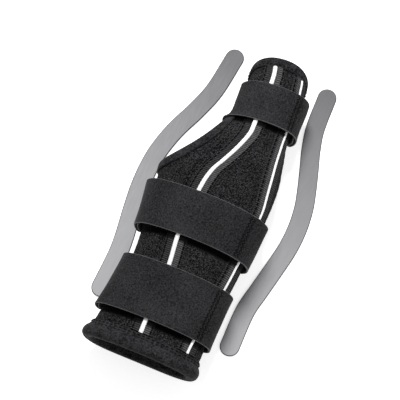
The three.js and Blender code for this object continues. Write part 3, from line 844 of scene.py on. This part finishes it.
def make_sleeve():
    """The wall, uneven outside by its crumb and by broad dents, with the hand hole cut out of it."""
    around, along, inside = 220, 270, 80
    angle = np.linspace(0, 2 * math.pi, around, endpoint=False)[None, :]
    outer_level = np.linspace(0, SLEEVE_LENGTH, along)[:, None]
    even = leaning(outer_level, angle)
    uneven = sum(
        row["height"] * waviness(even[..., :: row["order"]], row["wavelength"]) for row in SLEEVE_UNEVEN
    )
    outer = leaning(outer_level, angle, uneven)
    inner = leaning(np.linspace(SLEEVE_LENGTH, 0, inside)[:, None], angle, -SLEEVE_WALL)
    sleeve = solid("sleeve_fabric", np.concatenate([outer, inner]), [PILE], joined=True)
    plan = hole_plan(CUT_BACK, HOLE_OVERRUN, 40)
    far = plan[-1, 0] - HAND_WIDTH
    plan = np.concatenate([plan, [[far, plan[-1, 1]], [far, plan[0, 1]]]])
    prism = [np.column_stack([plan, np.full(len(plan), z)]) for z in (CUT_FROM, CUT_TO)]
    cutter = solid("cutter", prism, [PILE])
    cut = sleeve.modifiers.new("cut", "BOOLEAN")
    cut.operation, cut.solver, cut.object = "DIFFERENCE", "EXACT", cutter
    depsgraph = bpy.context.evaluated_depsgraph_get()
    mesh = bpy.data.meshes.new_from_object(sleeve.evaluated_get(depsgraph))
    sleeve.modifiers.clear()
    sleeve.data = mesh
    points = np.zeros(len(mesh.vertices) * 3, np.float32)
    mesh.vertices.foreach_get("co", points)
    points = points.reshape(-1, 3) / MM + SHIFT
    # lay's Z is how strongly the straps' painted shadow darkens each point.
    lay = np.column_stack([points[:, :2], painted_strap_shadow(points)]).astype(np.float32)
    mesh.attributes.new("lay", "FLOAT_VECTOR", "POINT").data.foreach_set("vector", lay.ravel())
    bpy.data.objects.remove(cutter)
    return sleeve


def folded_profile(leg, bulge, flat=0.0):
    """(lift, back) round a binding folded over the wall's edge, with its ends tucked down to the cloth.

    bulge: how far its outer leg swells. flat: length of the stitched part of that leg, which doesn't.
    """
    face, gap, tuck = BINDING_FACE, BINDING_GAP, BINDING_TUCK
    inside = -SLEEVE_WALL
    shoulder, corner = 0.7 * face, 0.15
    end_thickness, end_slope = 0.05, 0.3
    stitched_share = 0.8 if flat else 1.0
    swell_turn = 0.8
    edge_bulge_share, edge_depth_share = 0.45, 0.7

    points = [(gap + end_thickness, leg), (shoulder, leg - corner)]
    for back in np.linspace(leg - tuck, 0, 13):
        rolled = min(max((leg - flat - back) / (leg - flat), 0), 1)
        thick = face * (stitched_share + (1 - stitched_share) * min(1, rolled * 4))
        points.append((thick + bulge * math.sin(math.pi * rolled * swell_turn) ** swell_turn, back))
    radius = SLEEVE_WALL / 2 + face
    for turn in np.linspace(0, math.pi, 11)[1:-1]:
        out = radius + bulge * edge_bulge_share * (1 + math.cos(turn)) / 2
        lift = inside / 2 + out * math.cos(turn)
        points.append((lift, -edge_depth_share * radius * math.sin(turn)))
    for share in np.linspace(0, 1, 4):
        points.append((inside - face, (leg - tuck) * share))
    points += [(inside - shoulder, leg - corner), (inside - gap - end_thickness, leg)]
    points += [(inside - gap, leg - end_slope), (inside - gap, -gap), (gap, -gap), (gap, leg - end_slope)]
    return np.array(points)


def make_ring_binding(name, edge, leg, bulge, flat=0.0):
    """A binding folded over the cuff's edge or the rim."""
    profile = folded_profile(leg, bulge, flat)
    angle = np.linspace(0, 2 * math.pi, 260, endpoint=False)[:, None]
    rows = edge(angle, profile[None, :, 0], profile[None, :, 1])
    return solid(name, rows, [KNIT], joined=True)


def make_hole_binding():
    """A binding folded over the hand hole's edge, square to its line all the way round."""
    loop = hole_loop(240)
    tangent = np.roll(loop, -1, axis=0) - np.roll(loop, 1, axis=0)
    tangent /= np.linalg.norm(tangent, axis=1)[:, None]
    normal = onto_skin(loop)[1]
    into = np.cross(tangent, normal)
    into /= np.linalg.norm(into, axis=1)[:, None]
    highest = loop[:, 2].argmax()
    if into[highest, 0] - into[highest, 1] < 0:
        into = -into
    profile = folded_profile(HOLE_LEG, HOLE_BULGE)
    reach = loop[:, None, :] + into[:, None, :] * profile[None, :, 1:2]
    base, out = onto_skin(reach.reshape(-1, 3))
    rows = base + out * np.tile(profile[:, 0], len(loop))[:, None]
    return solid("hand_hole_binding", rows.reshape(reach.shape), [KNIT], joined=True)


# Tapes and piping

def make_strip(name, line, top, bottom, material):
    """A strip along a pocket's line. top, bottom: (distance to the side, lift) across it."""
    first, last = CUFF_LEG + POCKET_END_GAP, SLEEVE_LENGTH - RIM_LEG - POCKET_END_GAP
    level = np.linspace(first, last, 300)
    profile = np.concatenate([top, bottom[::-1]])
    rows, lay = [], []
    for y in level:
        x = column(line, "x", y / SLEEVE_LENGTH) * HAND_WIDTH
        rows.append(leaning(y, angles_beside(y, x, profile[:, 0]), profile[:, 1]))
        # lay's Z is how strongly the straps' painted shadow darkens each point.
        lay.append(np.column_stack([np.full(len(profile), y), profile[:, 0], painted_strap_shadow(rows[-1])]))
    return solid(name, rows, [material], lay)


def tape_profile(piping_width):
    """A raised ribbed band each side of the piping's groove, a stitched channel, and a flat edge."""
    half, groove_half = POCKET_WIDTH / 2, piping_width / 2
    groove_floor, band_rise, rib_height = 0.42, 0.95, 0.06
    top_lift, bottom_lift = 0.1, -0.05
    side = np.linspace(-half, half, 91)
    reach = np.abs(side)
    band = groove_floor + band_rise * smoothstep(reach, groove_half - 0.05, groove_half + 0.4)
    channel = 1 - 0.55 * smoothstep(reach, 5.1, 5.7) + 0.25 * smoothstep(reach, 6.0, 6.5)
    edge = 1 - 0.8 * smoothstep(reach, 6.7, half)
    ribs = rib_height * np.cos(2 * math.pi * reach / RIB_PITCH)
    top = np.column_stack([side, top_lift + (band + ribs) * channel * edge])
    bottom = np.column_stack([np.linspace(-half, half, 13), np.full(13, bottom_lift)])
    return top, bottom


def piping_profile(width):
    """A round crown over a flat underside, which lies in the tape's groove."""
    half = width / 2
    underside, side_lift, crown_rise = 0.6, 1.1, 0.62
    side = np.linspace(-half, half, 15)
    crown = side_lift + crown_rise * (1 - np.abs(side / half) ** 3)
    return np.column_stack([side, crown]), np.array([[-half, underside], [half, underside]])


# Straps

def strap_section(width):
    """(place across, share of the thickness, cut edge or not) round a strap's section."""
    half = width / 2
    low = [(u, 0.0, False) for u in np.linspace(-half + 0.5, half - 0.5, 11)]
    upper_edge = [
        (half - 0.1, 0.15, False),
        (half, 0.5, False),
        (half - 0.1, 0.86, True),
        (half - 0.32, 0.99, True),
    ]
    high = [(u, 1.0, False) for u in np.linspace(half - 0.95, -half + 0.95, 31)]
    lower_edge = [
        (-half + 0.32, 0.99, True),
        (-half + 0.1, 0.86, True),
        (-half, 0.5, True),
        (-half + 0.1, 0.15, False),
    ]
    return low + upper_edge + high + lower_edge


def strap_lift(gone, u, width):
    """Height of a strap's under face over the skin, gone radians from its start."""
    climb = STRAP_CLIMB * (1 - smoothstep(2 * math.pi - gone, CLIMB_TO, CLIMB_FROM))
    edges = STRAP_CUP * (np.abs(u) / (width / 2)) ** 4
    return STRAP_LIFT - STRAP_SEAT + climb + edges


def millimetres_per_radian(strap, lift):
    """Distance round a strap at its seam, for each radian of the section's angle."""
    step = 0.01
    seam = math.radians(strap["seam"])
    ends = on_strap(strap, 0.0, seam + np.array([-step, step]), lift)
    return np.linalg.norm(ends[1] - ends[0]) / (2 * step)


def strap_top(strap, gone, across, angle):
    """Height of a strap's upper face over the skin, slightly rippled, and pulled in along its seam."""
    seam_at = (strap["turn"] * math.radians(strap["seam"] - strap["start"])) % (2 * math.pi)
    from_seam = (gone - seam_at) * millimetres_per_radian(strap, 0.0)
    pulled_in = SEAM_DEPTH * np.exp(-((from_seam / SEAM_HALF) ** 2))
    ripple = RIPPLE * waviness(on_strap(strap, across, angle, 0.0), RIPPLE_LENGTH)
    return strap_lift(gone, across, strap["width"]) + ripple - pulled_in + STRAP_THICKNESS - STRAP_ROOM


def make_strap(strap):
    """A band that starts on one flank, goes once round and ends over its own start, with round corners."""
    stations, even_share, least = 360, 0.8, 0.2
    width = strap["width"]
    whole = 2 * math.pi + math.radians(strap["overlap"])
    even = np.linspace(0, whole, stations + 1)
    closer_at_ends = whole * (1 - np.cos(np.linspace(0, math.pi, stations + 1))) / 2
    gone = even_share * even + (1 - even_share) * closer_at_ends
    angle = math.radians(strap["start"]) + strap["turn"] * gone
    ring = strap_section(width)
    u = np.array([point[0] for point in ring])
    share = np.array([point[1] for point in ring])
    is_edge = np.array([point[2] for point in ring])
    line = on_strap(strap, 0.0, angle, 0.0)
    length = np.concatenate([[0], np.cumsum(np.linalg.norm(np.diff(line, axis=0), axis=1))])
    left = np.minimum(length, length[-1] - length)
    short = np.clip(STRAP_CORNER - left, 0, STRAP_CORNER)
    narrow = STRAP_CORNER - np.sqrt(np.maximum(STRAP_CORNER**2 - short**2, least**2))
    across = u[None, :] * ((width / 2 - narrow) / (width / 2))[:, None]
    low = strap_lift(gone[:, None], u[None, :], width)
    high = strap_top(strap, gone[:, None], across, angle[:, None])
    lift = low + (high - low) * share[None, :]
    rows = on_strap(strap, across, angle[:, None], lift)
    # The cut edges take the lighter edge material, partly a painted highlight.
    material = np.tile((is_edge & np.roll(is_edge, -1)).astype(int), stations)
    lay = np.stack(np.broadcast_arrays(length[:, None], across), axis=-1)
    return solid(strap["name"] + "_cloth", rows, [LOOP, EDGE], lay, face_material=material)


# Stitches

# A stitch from end to end: share of its length, and thickness and rise as shares of the thread's radius
STITCH_RINGS = [
    {"at": 0.0, "thick": 0.35, "rise": -0.8},
    {"at": 0.14, "thick": 0.9, "rise": 0.1},
    {"at": 0.5, "thick": 1.0, "rise": 0.45},
    {"at": 0.86, "thick": 0.9, "rise": 0.1},
    {"at": 1.0, "thick": 0.35, "rise": -0.8},
]


def stitch_run(points, normals, length, gap, radius):
    """Rings of one row of stitches along a line: rows of points, a separate closed solid for each stitch."""
    run = np.concatenate([[0], np.cumsum(np.linalg.norm(np.diff(points, axis=0), axis=1))])
    ring_at = np.array([ring["at"] for ring in STITCH_RINGS])
    thick = radius * np.array([ring["thick"] for ring in STITCH_RINGS])[:, None, None]
    rise = radius * np.array([ring["rise"] for ring in STITCH_RINGS])[:, None, None]
    sunk = rise - radius * STITCH_SINK
    turn = np.linspace(0, 2 * math.pi, 6, endpoint=False)
    cos, sin = np.cos(turn)[None, :, None], np.sin(turn)[None, :, None]

    def between(at, values):
        return np.stack([np.interp(at, run, values[:, k]) for k in range(3)], axis=-1)

    made = []
    for begin in np.arange(0, run[-1] - length, length + gap):
        at = begin + length * ring_at
        centre = between(at, points)
        normal = between(at, normals)
        normal /= np.linalg.norm(normal, axis=1)[:, None]
        tangent = centre[-1] - centre[0]
        tangent /= np.linalg.norm(tangent)
        side = np.cross(normal, tangent)
        ring = cos * side[:, None, :] + sin * normal[:, None, :]
        made.append(centre[:, None, :] + thick * ring + sunk * normal[:, None, :])
    return made


def stitch_piece(name, runs):
    """One piece of many stitches, each of them closed at both ends."""
    points, faces = [], []
    for rows in runs:
        n, m = rows.shape[:2]
        first = len(points) * n * m
        faces += grid_faces(n, m, first=first)
        faces.append([first + k for k in range(m)])
        faces.append([first + (n - 1) * m + k for k in range(m)])
        points.append(rows.reshape(-1, 3))
    return new_piece(name, np.concatenate(points), faces, [THREAD])


def beside_line(line, side, lift, first, last):
    """A row at a distance beside a pocket's line, and its normals."""
    level = np.linspace(first, last, 220)
    angle = np.array([
        angles_beside(y, column(line, "x", y / SLEEVE_LENGTH) * HAND_WIDTH, [side])[0] for y in level
    ])
    points = leaning(level, angle, lift)
    normals = leaning(level, angle, lift + 1.0) - points
    return points, normals


def round_line(edge, lift, back):
    """A row all round, back from the cuff's edge or the rim, and its normals."""
    angle = np.linspace(0, 2 * math.pi, 400)
    points = edge(angle, lift, back)
    return points, edge(angle, lift + 1.0, back) - points


def cuff_edge(angle, lift, back):
    """Points at distances back from the cuff's edge."""
    return leaning(back, angle, lift)


def rim_edge(angle, lift, back):
    """Points at distances back from the thumb's rim."""
    return leaning(SLEEVE_LENGTH - back, angle, lift)


def seam_bar(strap):
    """Two zigzag rows across a strap, where it is sewn to the sleeve on the back of the hand."""
    pitch, margin, row_gap, swing, thread_lift = 1.3, 1.5, 1.2, 1.1, 0.1
    steps = round((strap["width"] - 2 * margin) / pitch)
    seam = math.radians(strap["seam"])
    gone = (strap["turn"] * (seam - math.radians(strap["start"]))) % (2 * math.pi)
    across = np.linspace(-1, 1, steps + 1) * (strap["width"] / 2 - margin)
    turn_per_mm = 1 / millimetres_per_radian(strap, STRAP_LIFT)
    sides = np.where(np.arange(steps + 1) % 2 == 0, -swing, swing)
    pieces = []
    for row in (-row_gap, row_gap):
        angle = seam + (row + sides) * turn_per_mm
        lift = strap_top(strap, gone + strap["turn"] * (angle - seam), across, angle) + thread_lift
        points = on_strap(strap, across, angle, lift)
        normals = on_strap(strap, across, angle, lift + 1) - points
        pieces += [(points[k : k + 2], normals[k : k + 2]) for k in range(steps)]
    return pieces


# Stays

def make_stay(name, line, start):
    """A flat strip with round ends, lying on the ground, its edges rounded by tumbling."""
    edge, high = STAY_EDGE_ROUND, STAY_THICKNESS
    levels = [(edge, 0.0), (0.1, 0.12), (0.0, edge), (0.0, high - edge), (0.12, high - 0.12), (edge, high)]
    rows, lay = [], []
    for inset, z in levels:
        outline = stay_outline(line, start, inset)
        rows.append(np.column_stack([outline, np.full(len(outline), z)]))
        lay.append(outline[:, ::-1] - start[1])
    # The strip's edges take the darker material, as painted shade along its sides.
    edge_faces = np.ones((len(levels) - 1) * len(rows[0]), int)
    stay = solid(name, rows, [METAL, EDGE_SHADED], lay, face_material=edge_faces)
    for face in stay.data.polygons:
        face.use_smooth = len(face.vertices) == 4
    return stay


# Build

settle(make_sleeve(), "sleeve")
cuff_fold = make_ring_binding("cuff_fold", cuff_edge, CUFF_LEG, CUFF_BULGE, CUFF_FLAT)
settle(cuff_fold, "cuff_binding")
thumb_fold = make_ring_binding("thumb_fold", rim_edge, RIM_LEG, RIM_BULGE)
settle(thumb_fold, "thumb_binding")
settle(make_hole_binding(), "hand_binding")
for side_name, line, piping_width, tape in (
    ("palm", PALM_POCKET_LINE, PALM_PIPING_WIDTH, PALM_TAPE),
    ("back", BACK_POCKET_LINE, BACK_PIPING_WIDTH, BACK_TAPE),
):
    settle(
        make_strip(side_name + "_tape", line, *tape_profile(piping_width), tape),
        side_name + "_pocket",
    )
    settle(
        make_strip(side_name + "_white", line, *piping_profile(piping_width), PIPING),
        side_name + "_piping",
    )
for strap in STRAPS:
    settle(make_strap(strap), strap["name"])

# Rows of stitches: first and last place along the sleeve, inset from a binding's end, and lift off the skin
row_first = CUFF_LEG + 0.6
row_last = SLEEVE_LENGTH - RIM_LEG - 0.6
inset = 1.2
channel_lift, panel_lift, cuff_lift, rim_lift = 0.55, 0.12, 1.2, 1.6

runs = []
for line in (PALM_POCKET_LINE, BACK_POCKET_LINE):
    for side in (-CHANNEL, CHANNEL):
        row = beside_line(line, side, channel_lift, row_first, row_last)
        runs += stitch_run(*row, **POCKET_STITCH)
for side in PANEL_ROWS:
    row = beside_line(PALM_POCKET_LINE, side, panel_lift, row_first, PANEL_ROWS_END)
    runs += stitch_run(*row, **POCKET_STITCH)
for back in (CUFF_LEG - inset, CUFF_LEG - CUFF_FLAT):
    runs += stitch_run(*round_line(cuff_edge, cuff_lift, back), **CUFF_STITCH)
runs += stitch_run(*round_line(rim_edge, rim_lift, RIM_LEG - inset), **RIM_STITCH)
settle(stitch_piece("seam_stitches", runs))

bars = []
for strap in STRAPS:
    for points, normals in seam_bar(strap):
        length = np.linalg.norm(points[1] - points[0]) * BAR_STITCH["share"]
        bars += stitch_run(points, normals, length, BAR_STITCH["gap"], BAR_STITCH["radius"])
settle(stitch_piece("strap_stitches", bars))

settle(make_stay("palm_stay_strip", PALM_STAY_LINE, PALM_STAY_START), "palm_stay")
settle(make_stay("back_stay_strip", BACK_STAY_LINE, BACK_STAY_START), "back_stay")

# Studio. The Standard view leaves white as white, where Blender's usual one greys it.
bpy.context.scene.view_settings.view_transform = "Standard"

# Lights: place in metres, width of the disk in metres, power in watts.
LIGHTS = [
    {"name": "key", "place_at": (-0.24, 0.5, 0.9), "size": 0.35, "watts": 10},
    {"name": "fill", "place_at": (0.7, -0.3, 0.8), "size": 0.9, "watts": 1.8},
]
LIGHT_AIM = (0, 0, 0.02)
WHITE = (1, 1, 1, 1)
AIR_STRENGTH = 0.4
FLOOR_GLOW = 0.62
FLOOR_REACH = 3000.0


# Matt light table: an even pale sheet that glows softly, so that shadows on it stay faint.
def make_floor():
    material, tree = new_material("matt_light_table")
    where = add(tree, "ShaderNodeTexCoord").outputs["Object"]
    grain = add(tree, "ShaderNodeTexNoise", {"Vector": where, "Scale": per_metre(30.0), "Detail": 2.0})
    colour = add(tree, "ShaderNodeMix", {
        0: grain.outputs["Fac"], 6: linear("#f7f7f7"), 7: linear("#fbfbfb"),
    }, data_type="RGBA")
    shader = add(tree, "ShaderNodeBsdfPrincipled", {
        "Base Color": colour.outputs[2], "Roughness": 0.9, "Specular IOR Level": 0.1,
        "Emission Color": WHITE, "Emission Strength": FLOOR_GLOW,
    })
    add(tree, "ShaderNodeOutputMaterial", {"Surface": shader.outputs[0]})
    corners = FLOOR_REACH * np.array([[-1, -1, 0], [1, -1, 0], [1, 1, 0], [-1, 1, 0]])
    floor = new_piece("paper_floor", corners + SHIFT, [[0, 1, 2, 3]], [material], smooth=False)


def soft_light(name, place_at, size, watts):
    """A disk of light that faces the splint."""
    light = bpy.data.lights.new(name, "AREA")
    light.shape, light.size, light.energy = "DISK", size, watts
    lamp = bpy.data.objects.new(name, light)
    lamp.location = place_at
    lamp.rotation_euler = (Vector(LIGHT_AIM) - Vector(place_at)).to_track_quat("-Z", "Y").to_euler()
    bpy.context.scene.collection.objects.link(lamp)


make_floor()
for light in LIGHTS:
    soft_light(**light)
world = bpy.data.worlds.new("studio")
world.use_nodes = True
world.node_tree.nodes["Background"].inputs["Color"].default_value = WHITE
world.node_tree.nodes["Background"].inputs["Strength"].default_value = AIR_STRENGTH
bpy.context.scene.world = world

# Camera, at the photograph's angle. PICTURE_WIDTH: millimetres that fit across the picture at AIM.
AZIMUTH = math.radians(25)
ELEVATION = math.radians(74)
PICTURE_WIDTH = 260.0
AIM = np.array([-5.17, 108.30, 26.7])
LENS = 120
SENSOR_WIDTH = 36
camera_data = bpy.data.cameras.new("camera")
camera_data.lens = LENS
camera_data.sensor_width = SENSOR_WIDTH
camera = bpy.data.objects.new("camera", camera_data)
back = Vector((
    math.sin(AZIMUTH) * math.cos(ELEVATION),
    -math.cos(AZIMUTH) * math.cos(ELEVATION),
    math.sin(ELEVATION),
))
camera.location = Vector(place(AIM)) + back * (PICTURE_WIDTH * MM * LENS / SENSOR_WIDTH)
camera.rotation_euler = (-back).to_track_quat("-Z", "Y").to_euler()
bpy.context.scene.collection.objects.link(camera)
bpy.context.scene.camera = camera
